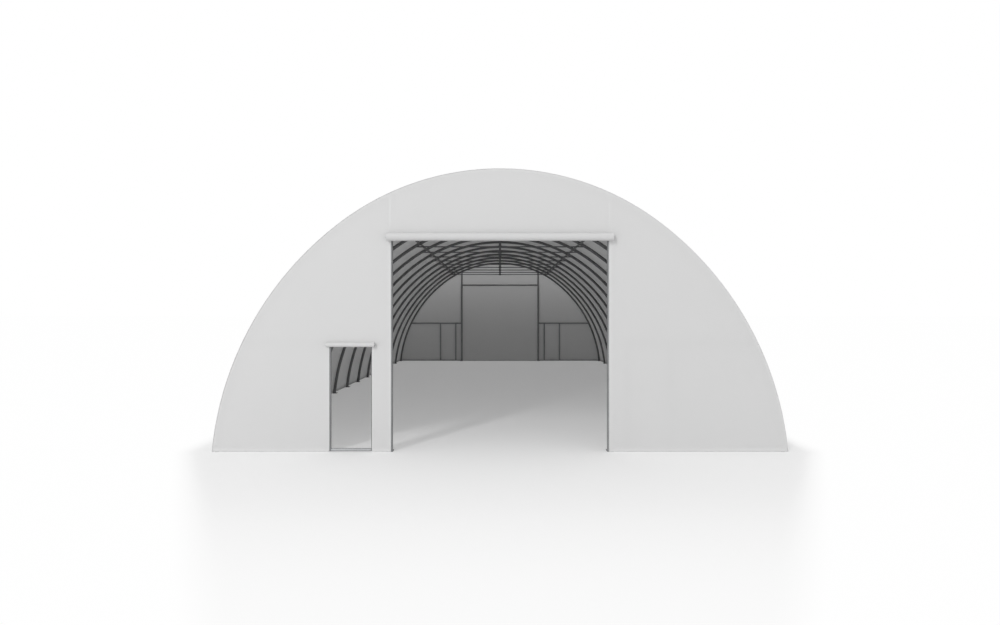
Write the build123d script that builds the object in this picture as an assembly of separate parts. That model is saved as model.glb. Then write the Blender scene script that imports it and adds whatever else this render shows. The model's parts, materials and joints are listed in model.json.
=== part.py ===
from build123d import *
from math import asin, atan2, cos, degrees, radians, sin, sqrt
import os

# Fabric arch building: steel arches in a row under one fabric cover, with a flat fabric wall at each
# end. The front wall has a wide gate and a small side door, both with their curtains rolled up.
# X runs across the hall, +Y from the front to the rear, +Z up. All lengths are in millimetres, and
# the ground is z = 0.

# The hall, over its cover and end walls
SPAN = 9150.0               # width at the ground
HEIGHT = 4500.0             # ground to the top of the cover
LENGTH = 20000.0            # front face of the front wall to rear face of the rear wall
CROWN_RADIUS = 4200.0       # outside of the cover, over the crown
SHOULDER_ANGLE = 36.3       # degrees from the top down to where the flatter side arcs begin

# Fabric
FABRIC = 6.0                # thickness of the cover, walls and curtains
SEAT = 0.3                  # clearance between fabric and what carries it
COVER_STRIP_COUNT = 4       # strips of the cover over each bent length of an arch

# Steel tubes
ARCH_COUNT = 14
ARCH_TUBE = 76.0            # tubes of the arches and gate posts
HEADER_TUBE = 60.0          # tubes of the gate headers, king posts, side rails and door posts
PURLIN_TUBE = 54.0
GROUND_RAIL_TUBE = 42.0
TIE_TUBE = 32.0
CROWN_TUBE_COUNT = 3        # bent lengths that make up the crown of an arch
SIDE_TUBE_COUNT = 2         # bent lengths that make up each side of an arch
TIE_HEIGHT = 3860.0         # middle of the tie bars
PURLIN_OFFSET = 2010.0      # middle of the side purlins, from the middle of the hall

# Foot plates
PLATE = 8.0                 # thickness
PLATE_WIDTH = 100.0         # across the hall
HOLE_EDGE = 25.0            # middle of a hole to the plate's edge, or to the tube
HOLE_PITCH = 40.0
HOLE_RADIUS = 7.0

# Gate, in the middle of each end
GATE_POST_OFFSET = 1742.0   # middle of a gate post, from the middle of the hall
GATE_HEADER_HEIGHT = 3460.0
GATE_CUT_HALF_WIDTH = 1732.0
GATE_CUT_HEIGHT = 3420.0
GATE_ROLL_DIAMETER = 130.0
GATE_ROLL_HALF_LENGTH = 1790.0
GATE_ROLL_HEIGHT = 3407.0
GATE_WINDING_TUBE = 42.0
GATE_TUBE_STUB = 16.0       # winding tube beyond the roll's end

# Small door, to the left of the gate
DOOR_POST_OFFSETS = (2020.0, 2715.0)
SIDE_RAIL_HEIGHT = 1720.0
DOOR_CUT_INNER = 2032.0     # edges of the cut in the wall, from the middle of the hall
DOOR_CUT_OUTER = 2708.0
DOOR_CUT_HEIGHT = 1710.0
DOOR_ROLL_DIAMETER = 76.0
DOOR_ROLL_OVERLAP = 46.0    # roll beyond each edge of the cut
DOOR_ROLL_HEIGHT = 1704.0
DOOR_WINDING_TUBE = 27.0
DOOR_TUBE_STUB = 12.0

# Curtain of the rear gate, let down
CURTAIN_LAP = 75.0          # beyond each side of the gate cut, and over its top

# The side arcs touch the crown arc at the shoulder and pass through the edge of the ground.
SHOULDER = radians(SHOULDER_ANGLE)
CROWN_Z = HEIGHT - CROWN_RADIUS
RISE_X = SPAN / 2 - CROWN_RADIUS * sin(SHOULDER)
RISE_Z = -(CROWN_Z + CROWN_RADIUS * cos(SHOULDER))
SIDE_RADIUS = -(RISE_X**2 + RISE_Z**2) / (2 * (RISE_X * sin(SHOULDER) + RISE_Z * cos(SHOULDER)))
SIDE_X = (CROWN_RADIUS - SIDE_RADIUS) * sin(SHOULDER)
SIDE_Z = CROWN_Z + (CROWN_RADIUS - SIDE_RADIUS) * cos(SHOULDER)
FOOT = atan2(SPAN / 2 - SIDE_X, -SIDE_Z)
FOOT_OVERRUN = radians(2.0)

# Insets of the arch tubes from the outside of the cover
TUBE_OUTSIDE = FABRIC + SEAT
TUBE_MIDDLE = TUBE_OUTSIDE + ARCH_TUBE / 2
TUBE_INSIDE = TUBE_OUTSIDE + ARCH_TUBE

# Places along the hall. The origin is in the middle of the whole, with what hangs on its ends.
FRONT_REACH = SEAT + GATE_ROLL_DIAMETER
REAR_REACH = SEAT + GATE_WINDING_TUBE
FRONT_Y = FRONT_REACH - (LENGTH + FRONT_REACH + REAR_REACH) / 2
REAR_Y = FRONT_Y + LENGTH
FIRST_ARCH_Y = FRONT_Y + FABRIC + SEAT + ARCH_TUBE / 2
LAST_ARCH_Y = REAR_Y - FABRIC - SEAT - ARCH_TUBE / 2
ARCH_PITCH = (LAST_ARCH_Y - FIRST_ARCH_Y) / (ARCH_COUNT - 1)


def arc_point(centre_x, centre_z, radius, angle, y):
    """A point on an arc of the hall's outline, by its angle from straight up."""
    return Vector(centre_x + radius * sin(angle), y, centre_z + radius * cos(angle))


def half_width(z, inset):
    """Half the width of the outline at a height, inset from the outside of the cover."""
    if z > CROWN_Z + (CROWN_RADIUS - inset) * cos(SHOULDER):
        return sqrt((CROWN_RADIUS - inset) ** 2 - (z - CROWN_Z) ** 2)
    return SIDE_X + sqrt((SIDE_RADIUS - inset) ** 2 - (z - SIDE_Z) ** 2)


def arch_area(inset, y_start, y_end):
    """Everything under the inset outline, from one place along the hall to another."""
    crown = CROWN_RADIUS - inset
    side = SIDE_RADIUS - inset
    foot_x = half_width(0, inset)
    foot_angle = atan2(foot_x - SIDE_X, -SIDE_Z)
    middle = (SHOULDER + foot_angle) / 2
    left_foot = Vector(-foot_x, y_start, 0)
    left_shoulder = arc_point(0, CROWN_Z, crown, -SHOULDER, y_start)
    right_shoulder = arc_point(0, CROWN_Z, crown, SHOULDER, y_start)
    right_foot = Vector(foot_x, y_start, 0)
    outline = Wire([
        Edge.make_three_point_arc(
            left_foot, arc_point(-SIDE_X, SIDE_Z, side, -middle, y_start), left_shoulder
        ),
        Edge.make_three_point_arc(
            left_shoulder, arc_point(0, CROWN_Z, crown, 0, y_start), right_shoulder
        ),
        Edge.make_three_point_arc(
            right_shoulder, arc_point(SIDE_X, SIDE_Z, side, middle, y_start), right_foot
        ),
        Edge.make_line(right_foot, left_foot),
    ])
    return extrude(Face(outline), amount=y_end - y_start, dir=(0, 1, 0))


def outline_lengths(strip_count):
    """Centre, radius and end angles of each bent length, from the left foot to the right foot.

    Each length is cut into strip_count equal ones.
    """
    side_count = SIDE_TUBE_COUNT * strip_count
    runs = [
        (-SIDE_X, SIDE_Z, SIDE_RADIUS, -FOOT, -SHOULDER, side_count),
        (0.0, CROWN_Z, CROWN_RADIUS, -SHOULDER, SHOULDER, CROWN_TUBE_COUNT * strip_count),
        (SIDE_X, SIDE_Z, SIDE_RADIUS, SHOULDER, FOOT, side_count),
    ]
    lengths = []
    for centre_x, centre_z, radius, start, end, count in runs:
        step = (end - start) / count
        for index in range(count):
            first = start + index * step
            lengths.append((centre_x, centre_z, radius, first, first + step))
    return lengths


def bent_lengths(inset, thickness, y_start, y_end, foot_height, strip_count=1):
    """Bent bars or strips that follow the outline, each butted to the next, cut flat at the feet."""
    pieces = []
    lengths = outline_lengths(strip_count)
    for index, (centre_x, centre_z, radius, start, end) in enumerate(lengths):
        first = start - FOOT_OVERRUN if index == 0 else start
        last = end + FOOT_OVERRUN if index == len(lengths) - 1 else end
        radial = Vector(sin(first), 0, cos(first))
        middle = arc_point(centre_x, centre_z, radius - inset - thickness / 2, first, y_start)
        section = Plane(origin=middle, x_dir=radial, z_dir=radial.cross(Vector(0, 1, 0))) * Rectangle(
            thickness, y_end - y_start, align=(Align.CENTER, Align.MIN)
        )
        turn = Axis((centre_x, 0, centre_z), (0, 1, 0))
        piece = revolve(section, turn, degrees(last - first))
        if index in (0, len(lengths) - 1):
            piece = split(piece, Plane.XY.offset(foot_height), keep=Keep.TOP)
        pieces.append(piece)
    return pieces


def bar(start, end, width):
    """A straight tube, upright or level across the hall, between two points."""
    run = Vector(*end) - Vector(*start)
    return extrude(Plane(origin=start, x_dir=(0, 1, 0), z_dir=run) * Rectangle(width, width), run.length)


def foot_plate(edge_x, y, inward_x, inward_y):
    """Foot plate with two anchor holes beside its tube. It starts at edge_x and at the tube's face."""
    first_hole = ARCH_TUBE / 2 + HOLE_EDGE
    reach = first_hole + HOLE_PITCH + HOLE_EDGE
    plate = Plane.XY * Pos(
        edge_x + inward_x * PLATE_WIDTH / 2, y + inward_y * (reach - ARCH_TUBE / 2) / 2
    ) * Rectangle(PLATE_WIDTH, reach + ARCH_TUBE / 2)
    for hole in (first_hole, first_hole + HOLE_PITCH):
        plate -= Pos(edge_x + inward_x * PLATE_WIDTH / 2, y + inward_y * hole) * Circle(HOLE_RADIUS)
    return extrude(plate, PLATE)


def both_sides(piece):
    """A piece on the right of the hall and its mirror image on the left."""
    return [piece, piece.mirror(Plane.YZ)]


def arch_place(index):
    """Where an arch stands along the hall, and which way along it the hall's middle lies."""
    return FIRST_ARCH_Y + index * ARCH_PITCH, 1 if index < ARCH_COUNT / 2 else -1


def make_arch(index, inside):
    """An arch of bent tubes on two foot plates. Each but the first and the last is tied.

    A tied arch has a tie bar across it under the purlins, and a king post on that.
    """
    y, inward_y = arch_place(index)
    pieces = bent_lengths(TUBE_OUTSIDE, ARCH_TUBE, y - ARCH_TUBE / 2, y + ARCH_TUBE / 2, PLATE)
    pieces += both_sides(foot_plate(half_width(PLATE, TUBE_OUTSIDE), y, -1, inward_y))
    if 0 < index < ARCH_COUNT - 1:
        pieces.append(bar((-SPAN / 2, y, TIE_HEIGHT), (SPAN / 2, y, TIE_HEIGHT), TIE_TUBE) & inside)
        pieces.append(bar((0, y, TIE_HEIGHT + TIE_TUBE / 2), (0, y, HEIGHT), HEADER_TUBE) & inside)
    return Compound(pieces)


def make_purlin(angle):
    """A line of purlin tubes along the crown, one between each arch and the next."""
    pieces = []
    for index in range(ARCH_COUNT - 1):
        start = FIRST_ARCH_Y + index * ARCH_PITCH + ARCH_TUBE / 2
        middle = arc_point(0, CROWN_Z, CROWN_RADIUS - TUBE_MIDDLE, angle, start)
        section = Plane(origin=middle, x_dir=(cos(angle), 0, -sin(angle)), z_dir=(0, 1, 0))
        pieces.append(extrude(section * Rectangle(PURLIN_TUBE, PURLIN_TUBE), ARCH_PITCH - ARCH_TUBE))
    return Compound(pieces)


def make_gate_frame(index, inside):
    """Two gate posts from their foot plates up to the arch, and the header between them."""
    y, inward_y = arch_place(index)
    post = bar((GATE_POST_OFFSET, y, PLATE), (GATE_POST_OFFSET, y, HEIGHT), ARCH_TUBE) & inside
    plate = foot_plate(GATE_POST_OFFSET - ARCH_TUBE / 2, y, 1, inward_y)
    reach = GATE_POST_OFFSET - ARCH_TUBE / 2
    header = bar((-reach, y, GATE_HEADER_HEIGHT), (reach, y, GATE_HEADER_HEIGHT), HEADER_TUBE)
    return Compound(both_sides(post) + both_sides(plate) + [header])


def make_side_frame(index, inside, side):
    """Ground rail, side rail and door posts between a gate post and the arch."""
    y, _ = arch_place(index)
    start = side * (GATE_POST_OFFSET + ARCH_TUBE / 2)
    end = side * SPAN / 2
    ground = PLATE + GROUND_RAIL_TUBE / 2
    ground_rail = bar((start, y, ground), (end, y, ground), GROUND_RAIL_TUBE) & inside
    side_rail = bar((start, y, SIDE_RAIL_HEIGHT), (end, y, SIDE_RAIL_HEIGHT), HEADER_TUBE) & inside
    pieces = [ground_rail, side_rail]
    for offset in DOOR_POST_OFFSETS:
        foot = (side * offset, y, ground + GROUND_RAIL_TUBE / 2)
        head = (side * offset, y, SIDE_RAIL_HEIGHT - HEADER_TUBE / 2)
        pieces.append(bar(foot, head, HEADER_TUBE))
    return Compound(pieces)


def wall_piece(wall, x_start, x_end, z_start):
    """The part of an end wall between two places across the hall, from a height upwards."""
    return wall & extrude(
        Plane.XY.offset(z_start) * Pos((x_start + x_end) / 2, 0) * Rectangle(x_end - x_start, 2 * LENGTH),
        HEIGHT,
    )


def make_roll(x_start, x_end, z, diameter, winding_tube, stub):
    """A curtain rolled up on its winding tube, hanging against the front wall."""
    y = FRONT_Y - SEAT - diameter / 2
    end_plane = Plane(origin=(x_start, y, z), x_dir=(0, 1, 0), z_dir=(1, 0, 0))
    wound = extrude(end_plane * (Circle(diameter / 2) - Circle(winding_tube / 2)), x_end - x_start)
    tube = extrude(end_plane.offset(-stub) * Circle(winding_tube / 2), x_end - x_start + 2 * stub)
    return Compound([wound, tube])


def make_rear_curtain():
    """The rear gate's curtain, hanging outside the rear wall, with its winding tube at the ground."""
    reach = GATE_CUT_HALF_WIDTH + CURTAIN_LAP
    radius = GATE_WINDING_TUBE / 2
    y = REAR_Y + SEAT
    sheet = extrude(
        Plane.XZ.offset(-y) * Pos(0, GATE_WINDING_TUBE) * Rectangle(
            2 * reach, GATE_CUT_HEIGHT + CURTAIN_LAP - GATE_WINDING_TUBE, align=(Align.CENTER, Align.MIN)
        ),
        -FABRIC,
    )
    end_plane = Plane(origin=(-reach, y + radius, radius), x_dir=(0, 1, 0), z_dir=(1, 0, 0))
    tube = extrude(end_plane * Circle(radius), 2 * reach)
    return Compound([sheet, tube])


def build():
    """Every node of the hall, by name."""
    inside = arch_area(TUBE_INSIDE, FRONT_Y, REAR_Y)
    front_wall = arch_area(TUBE_OUTSIDE, FRONT_Y, FRONT_Y + FABRIC)
    rear_wall = arch_area(TUBE_OUTSIDE, REAR_Y - FABRIC, REAR_Y)
    side = SPAN / 2
    last = ARCH_COUNT - 1
    nodes = {}

    for index in range(ARCH_COUNT):
        nodes[f"arch_{index + 1:02d}"] = make_arch(index, inside)

    purlin_angle = asin(PURLIN_OFFSET / (CROWN_RADIUS - TUBE_MIDDLE))
    nodes["purlin_left"] = make_purlin(-purlin_angle)
    nodes["purlin_right"] = make_purlin(purlin_angle)
    nodes["purlin_ridge"] = make_purlin(0)

    nodes["front_gate_frame"] = make_gate_frame(0, inside)
    nodes["rear_gate_frame"] = make_gate_frame(last, inside)
    nodes["front_side_frame_left"] = make_side_frame(0, inside, -1)
    nodes["front_side_frame_right"] = make_side_frame(0, inside, 1)
    nodes["rear_side_frame_left"] = make_side_frame(last, inside, -1)
    nodes["rear_side_frame_right"] = make_side_frame(last, inside, 1)

    strips = bent_lengths(0, FABRIC, FRONT_Y, REAR_Y, 0, COVER_STRIP_COUNT)
    for index in range(len(strips) // COVER_STRIP_COUNT):
        first = index * COVER_STRIP_COUNT
        nodes[f"cover_{index + 1:02d}"] = Compound(strips[first:first + COVER_STRIP_COUNT])

    gate = GATE_CUT_HALF_WIDTH
    nodes["front_wall_left"] = wall_piece(front_wall, -side, -DOOR_CUT_OUTER, 0)
    nodes["front_wall_over_door"] = wall_piece(
        front_wall, -DOOR_CUT_OUTER, -DOOR_CUT_INNER, DOOR_CUT_HEIGHT
    )
    nodes["front_wall_between"] = wall_piece(front_wall, -DOOR_CUT_INNER, -gate, 0)
    nodes["front_wall_over_gate"] = wall_piece(front_wall, -gate, gate, GATE_CUT_HEIGHT)
    nodes["front_wall_right"] = wall_piece(front_wall, gate, side, 0)
    nodes["rear_wall_left"] = wall_piece(rear_wall, -side, -gate, 0)
    nodes["rear_wall_over_gate"] = wall_piece(rear_wall, -gate, gate, GATE_CUT_HEIGHT)
    nodes["rear_wall_right"] = wall_piece(rear_wall, gate, side, 0)

    nodes["front_gate_roll"] = make_roll(
        -GATE_ROLL_HALF_LENGTH, GATE_ROLL_HALF_LENGTH, GATE_ROLL_HEIGHT,
        GATE_ROLL_DIAMETER, GATE_WINDING_TUBE, GATE_TUBE_STUB,
    )
    nodes["front_door_roll"] = make_roll(
        -DOOR_CUT_OUTER - DOOR_ROLL_OVERLAP, -DOOR_CUT_INNER + DOOR_ROLL_OVERLAP, DOOR_ROLL_HEIGHT,
        DOOR_ROLL_DIAMETER, DOOR_WINDING_TUBE, DOOR_TUBE_STUB,
    )
    nodes["rear_gate_curtain"] = make_rear_curtain()
    return nodes


os.makedirs("parts", exist_ok=True)
for name, shape in build().items():
    export_step(shape, f"parts/{name}.step")
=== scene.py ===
import json
import math

import bmesh
import bpy
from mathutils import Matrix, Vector, noise
from mathutils.geometry import delaunay_2d_cdt

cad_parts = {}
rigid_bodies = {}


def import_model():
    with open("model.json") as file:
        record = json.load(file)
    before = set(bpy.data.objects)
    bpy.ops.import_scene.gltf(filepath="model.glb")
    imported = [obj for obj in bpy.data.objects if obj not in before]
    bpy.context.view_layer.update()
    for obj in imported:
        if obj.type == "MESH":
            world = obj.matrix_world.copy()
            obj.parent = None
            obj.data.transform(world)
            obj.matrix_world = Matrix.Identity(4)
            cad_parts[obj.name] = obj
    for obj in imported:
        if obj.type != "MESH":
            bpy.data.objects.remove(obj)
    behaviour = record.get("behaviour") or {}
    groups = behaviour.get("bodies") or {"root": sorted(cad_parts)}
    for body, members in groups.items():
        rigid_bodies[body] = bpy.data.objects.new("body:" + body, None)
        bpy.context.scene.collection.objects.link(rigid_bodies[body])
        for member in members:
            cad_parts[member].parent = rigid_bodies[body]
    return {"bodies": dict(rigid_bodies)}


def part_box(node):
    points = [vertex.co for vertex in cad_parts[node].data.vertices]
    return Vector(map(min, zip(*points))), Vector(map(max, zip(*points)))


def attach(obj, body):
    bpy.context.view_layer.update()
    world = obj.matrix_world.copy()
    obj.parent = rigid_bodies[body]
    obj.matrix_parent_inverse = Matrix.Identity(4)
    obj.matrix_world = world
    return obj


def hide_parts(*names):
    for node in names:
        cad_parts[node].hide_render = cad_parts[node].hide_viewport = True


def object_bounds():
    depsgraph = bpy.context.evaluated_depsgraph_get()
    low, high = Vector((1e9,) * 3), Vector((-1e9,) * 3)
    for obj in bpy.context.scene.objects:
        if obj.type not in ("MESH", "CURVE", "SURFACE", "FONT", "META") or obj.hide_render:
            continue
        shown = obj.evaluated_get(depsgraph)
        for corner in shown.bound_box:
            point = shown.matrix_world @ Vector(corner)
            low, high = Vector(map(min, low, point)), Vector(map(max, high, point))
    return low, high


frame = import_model()
CAD_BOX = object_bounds()
BODY = next(iter(frame["bodies"]))

# Sizes of the hall, in metres: the overall ones come from the frame
SPAN = CAD_BOX[1].x - CAD_BOX[0].x
HEIGHT = CAD_BOX[1].z
FRONT_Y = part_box("front_wall_right")[0].y
REAR_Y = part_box("rear_wall_right")[1].y
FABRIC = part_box("front_wall_right")[1].y - FRONT_Y
CROWN_RADIUS = 4.200
SHOULDER = math.radians(36.3)
ARCH_COUNT = 14
COVER_COUNT = 7
ARCH_TUBE = 0.076
HEADER_TUBE = 0.060
PURLIN_TUBE = 0.054
GROUND_RAIL_TUBE = 0.042
TIE_TUBE = 0.032
GATE_WINDING_TUBE = 0.042
DOOR_WINDING_TUBE = 0.027
SEAT = 0.0003              # gap between two solids that touch
CROWN_TUBES = 3
SIDE_TUBES = 2

# The outline's side arcs touch the crown arc at the shoulder and end at the edge of the ground
CROWN_Z = HEIGHT - CROWN_RADIUS
RISE_X = SPAN / 2 - CROWN_RADIUS * math.sin(SHOULDER)
RISE_Z = -(CROWN_Z + CROWN_RADIUS * math.cos(SHOULDER))
SIDE_RADIUS = -(RISE_X**2 + RISE_Z**2) / (2 * (RISE_X * math.sin(SHOULDER) + RISE_Z * math.cos(SHOULDER)))
SIDE_X = (CROWN_RADIUS - SIDE_RADIUS) * math.sin(SHOULDER)
SIDE_Z = CROWN_Z + (CROWN_RADIUS - SIDE_RADIUS) * math.cos(SHOULDER)
FOOT = math.atan2(SPAN / 2 - SIDE_X, -SIDE_Z)
CROWN_HALF_LENGTH = CROWN_RADIUS * SHOULDER
HALF_LENGTH = CROWN_HALF_LENGTH + SIDE_RADIUS * (FOOT - SHOULDER)

TUBE_OUTSIDE = FABRIC + SEAT
TUBE_MIDDLE = TUBE_OUTSIDE + ARCH_TUBE / 2
FIRST_ARCH_Y = FRONT_Y + TUBE_OUTSIDE + ARCH_TUBE / 2
LAST_ARCH_Y = REAR_Y - TUBE_OUTSIDE - ARCH_TUBE / 2
PITCH = (LAST_ARCH_Y - FIRST_ARCH_Y) / (ARCH_COUNT - 1)
ARCH_YS = [FIRST_ARCH_Y + index * PITCH for index in range(ARCH_COUNT)]

# The sheets lie just clear of the tubes, and end just clear of the ground
SHEET_INSET = 0.0056
SHEET_END = HALF_LENGTH - 0.004


def outline(length, inset):
    """Point (x, z) of the outline, by its length from the top, right positive."""
    side = 1 if length >= 0 else -1
    if abs(length) <= CROWN_HALF_LENGTH:
        angle = length / CROWN_RADIUS
        centre, radius = (0, CROWN_Z), CROWN_RADIUS
    else:
        angle = side * (SHOULDER + (abs(length) - CROWN_HALF_LENGTH) / SIDE_RADIUS)
        centre, radius = (side * SIDE_X, SIDE_Z), SIDE_RADIUS
    return centre[0] + (radius - inset) * math.sin(angle), centre[1] + (radius - inset) * math.cos(angle)


def half_width(z, inset):
    """Half the width of the outline at a height."""
    if z > CROWN_Z + (CROWN_RADIUS - inset) * math.cos(SHOULDER):
        return math.sqrt((CROWN_RADIUS - inset) ** 2 - (z - CROWN_Z) ** 2)
    return SIDE_X + math.sqrt((SIDE_RADIUS - inset) ** 2 - (z - SIDE_Z) ** 2)


def top_height(x, inset):
    """Height of the outline over a place across the hall."""
    if abs(x) < (CROWN_RADIUS - inset) * math.sin(SHOULDER):
        return CROWN_Z + math.sqrt((CROWN_RADIUS - inset) ** 2 - x**2)
    return SIDE_Z + math.sqrt((SIDE_RADIUS - inset) ** 2 - (abs(x) - SIDE_X) ** 2)


# Materials

FABRIC_UNEVEN = 0.015      # how much a fabric's shade goes up and down, in soft clouds
PAINTED_LIGHT_MOST = 0.13        # the most that painted light adds to a fabric's share of light through it, towards the top
WEAVE_SCALE = 130.0        # yarns about 2.4 mm apart


def new_material(name):
    material = bpy.data.materials.new(name)
    material.use_nodes = True
    tree = material.node_tree
    tree.nodes.clear()
    output = tree.nodes.new("ShaderNodeOutputMaterial")
    surface = tree.nodes.new("ShaderNodeBsdfPrincipled")
    tree.links.new(surface.outputs["BSDF"], output.inputs["Surface"])
    return material, tree, surface, output


def set_inputs(tree, node, values):
    """Sets inputs of a node to numbers, or links them to the outputs of other nodes."""
    for name, value in values.items():
        if hasattr(value, "links"):
            tree.links.new(value, node.inputs[name])
        else:
            node.inputs[name].default_value = value


def add_node(tree, kind, values, **settings):
    """The outputs of a new node, whose inputs are set to values."""
    node = tree.nodes.new(kind)
    for name, setting in settings.items():
        setattr(node, name, setting)
    set_inputs(tree, node, values)
    return node.outputs


def add_noise(tree, coordinates, scale, detail):
    values = {"Vector": coordinates, "Scale": scale, "Detail": detail}
    return add_node(tree, "ShaderNodeTexNoise", values)["Fac"]


def add_yarns(tree, coordinates, direction):
    """Waves of yarns side by side, along one direction of the cloth."""
    values = {"Vector": coordinates, "Scale": WEAVE_SCALE}
    return add_node(tree, "ShaderNodeTexWave", values, wave_type="BANDS", bands_direction=direction)["Fac"]


def add_ramp(tree, factor, low, high):
    """Maps 0 to 1 onto low to high."""
    values = {"Value": factor, "To Min": low, "To Max": high}
    return add_node(tree, "ShaderNodeMapRange", values)["Result"]


def add_math(tree, operation, first, second=0.0):
    return add_node(tree, "ShaderNodeMath", {0: first, 1: second}, operation=operation)["Value"]


def add_grey(tree, value, tint=(1.0, 1.0, 1.0)):
    """A colour of that grey value times a tint."""
    values = {index: add_math(tree, "MULTIPLY", value, share) for index, share in enumerate(tint)}
    return add_node(tree, "ShaderNodeCombineColor", values)["Color"]


def add_bump(tree, height, strength, distance, **normal):
    values = {"Height": height, "Strength": strength, "Distance": distance, **normal}
    return add_node(tree, "ShaderNodeBump", values)["Normal"]


def add_mix(tree, share, first, second):
    """The first shader, with a share of the second in it."""
    return add_node(tree, "ShaderNodeMixShader", {0: share, 1: first, 2: second})["Shader"]


def fabric_material(name, light_through, painted_light_rise=0.0, shade=0.67):
    """White coated fabric: a fine weave under a satin coat, a little uneven, and some light through it.

    shade is the share of light that it throws back. The share of light through it grows by the given rise
    times the square of the height in metres: painted light, brighter from inside towards the top and darker
    towards the ground.
    """
    material, tree, surface, output = new_material(name)
    coordinates = add_node(tree, "ShaderNodeTexCoord", {})["Object"]
    cloud = add_noise(tree, coordinates, scale=0.55, detail=4.0)
    low, high = shade * (1 - FABRIC_UNEVEN), shade * (1 + FABRIC_UNEVEN)
    # Painted light: more light through it towards the top, with its colour raised so that it looks the same
    # from outside
    if painted_light_rise:
        height = add_node(tree, "ShaderNodeSeparateXYZ", {"Vector": coordinates})["Z"]
        squared = add_math(tree, "MULTIPLY", height, height)
        painted_light_share = add_math(tree, "MINIMUM", add_math(tree, "MULTIPLY", squared, painted_light_rise), PAINTED_LIGHT_MOST)
        share = add_math(tree, "ADD", painted_light_share, light_through)
        solid = add_math(tree, "SUBTRACT", 1.0, share)
        value = add_math(tree, "DIVIDE", add_ramp(tree, cloud, low, high), solid)
    else:
        share = light_through
        value = add_ramp(tree, cloud, low / (1 - share), high / (1 - share))
    colour = add_grey(tree, value)
    smudge = add_noise(tree, coordinates, scale=2.5, detail=5.0)

    cloth = add_node(tree, "ShaderNodeUVMap", {}, uv_map="cloth")["UV"]
    yarns = add_math(tree, "ADD", add_yarns(tree, cloth, "X"), add_yarns(tree, cloth, "Y"))
    weave = add_bump(tree, yarns, strength=0.10, distance=0.0003)
    ripples = add_noise(tree, coordinates, scale=1.6, detail=2.0)
    set_inputs(tree, surface, {
        "Base Color": colour,
        "Roughness": add_ramp(tree, smudge, 0.46, 0.62),
        "Specular IOR Level": 0.35,
        "Normal": add_bump(tree, ripples, strength=0.15, distance=0.010, Normal=weave),
    })

    through = add_node(tree, "ShaderNodeBsdfTranslucent", {"Color": colour})["BSDF"]
    mixed = add_mix(tree, share, surface.outputs["BSDF"], through)
    tree.links.new(mixed, output.inputs["Surface"])
    return material


def steel_material(name, tone, metallic):
    """Galvanised steel: a mottled grey with the soft grain of zinc."""
    material, tree, surface, _ = new_material(name)
    coordinates = add_node(tree, "ShaderNodeTexCoord", {})["Object"]
    spangle = add_node(tree, "ShaderNodeTexVoronoi", {"Vector": coordinates, "Scale": 90.0})["Distance"]
    grain = add_ramp(tree, spangle, 0.9, 1.12)
    cloud = add_ramp(tree, add_noise(tree, coordinates, scale=6.0, detail=5.0), 0.85, 1.15)
    value = add_math(tree, "MULTIPLY", add_math(tree, "MULTIPLY", grain, cloud), tone)
    smudge = add_noise(tree, coordinates, scale=25.0, detail=3.0)
    pits = add_noise(tree, coordinates, scale=120.0, detail=2.0)
    set_inputs(tree, surface, {
        "Base Color": add_grey(tree, value, (0.98, 1.0, 1.02)),
        "Roughness": add_ramp(tree, smudge, 0.38, 0.58),
        "Metallic": metallic,
        "Normal": add_bump(tree, pits, strength=0.15, distance=0.0004),
    })
    return material


COVER = fabric_material("coated_fabric_cover", light_through=0.121)
WALL = fabric_material("coated_fabric_wall", light_through=0.15)
# The rear wall has painted light through it, more towards the top and less towards the ground
REAR_WALL = fabric_material("coated_fabric_rear_wall", light_through=0.051, painted_light_rise=0.0094)
CURTAIN = fabric_material("coated_fabric_curtain", light_through=0.10)
# The rear curtain has painted light through it, more towards the top and less towards the ground
REAR_CURTAIN = fabric_material("coated_fabric_rear_curtain", light_through=0.051, painted_light_rise=0.0094)
# The double fabric is lighter than the single: painted light, for the light that comes through the single
# fabric and not through the double
TRIM = fabric_material("coated_fabric_double", light_through=0.07, shade=0.72)
# The cord is lighter than the fabric: painted light, which lifts the shade along the cover's front and rear
# edges
RIM = fabric_material("coated_fabric_rim", light_through=0.05, shade=0.73)
# This copy of the galvanised steel is darker: painted shade, for the tubes inside the hall
SHADED_STEEL = steel_material("galvanised_steel_painted_shade", tone=0.17, metallic=0.22)
# This copy of the same steel is lighter: painted light, for the posts lit at the openings
LIT_STEEL = steel_material("galvanised_steel_painted_light", tone=0.30, metallic=0.60)
# The tread's light tone is painted light, for the ground rail lit at the door
LIT_TREAD = steel_material("tread_painted_light", tone=0.38, metallic=0.5)
# The winding tubes' pale tone is painted light, which lifts the shade at the ends of the front rolls
WINDING_TUBE_PAINTED_LIGHT = steel_material("winding_tube_painted_light", tone=0.66, metallic=0.1)


# Meshes

ALONG_Y = Vector((0, 1, 0))
UP = Vector((0, 0, 1))
TUBE_SIDES = 20
WIDE_TUBE_SIDES = 22
WINDING_TUBE_SIDES = 24
SINK = 0.001               # how deep a small form sinks into what it sits on
WASHER = 0.0022
STRAP = 0.0022             # thickness of a saddle
STRAP_REACH = 80           # of a saddle round its tube, in degrees from its middle
BEAD_UNEVEN = 0.14         # how much a weld bead's radius goes up and down
BEAD_WAVE = 2.4            # of that, in radians from one ring to the next


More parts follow.
